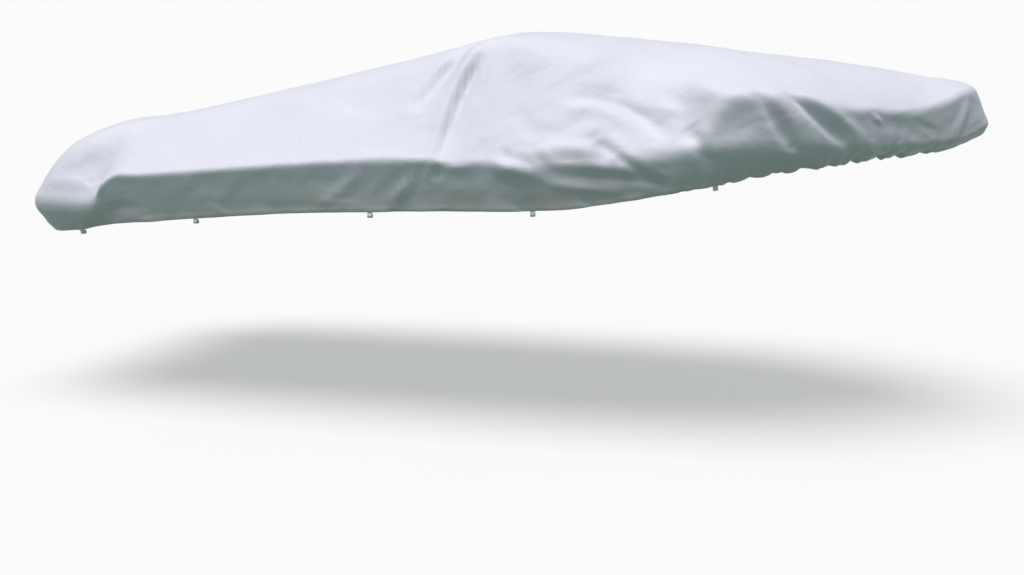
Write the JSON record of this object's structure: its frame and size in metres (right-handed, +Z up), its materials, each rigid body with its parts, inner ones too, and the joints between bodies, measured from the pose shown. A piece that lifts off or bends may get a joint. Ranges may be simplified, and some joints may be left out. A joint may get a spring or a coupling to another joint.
{
  "type": "boat cover",
  "caption": "Fitted cloth cover for an open motor boat, in its draped shape, with an elastic hem and webbing loops for a tie-down cord.",
  "frame": {"origin": "on the centreline, just under the cloth at its highest point, where the windscreen's frame carries the cover", "axes": "+X towards the bow, +Y to port, +Z up"},
  "size_m": [5.3002, 2.1797, 1.1447],
  "materials": {
    "coated_polyester": "silver-grey woven polyester with a thin coating, soft sheen",
    "loop_webbing": "off-white flat woven webbing"
  },
  "bodies": {
    "root": {"cover_cloth": "coated_polyester", "loop_starboard_1": "loop_webbing", "loop_starboard_2": "loop_webbing", "loop_starboard_3": "loop_webbing", "loop_starboard_4": "loop_webbing", "loop_starboard_5": "loop_webbing", "loop_port_1": "loop_webbing", "loop_port_2": "loop_webbing", "loop_port_3": "loop_webbing", "loop_port_4": "loop_webbing", "loop_port_5": "loop_webbing"}
  },
  "joints": []
}
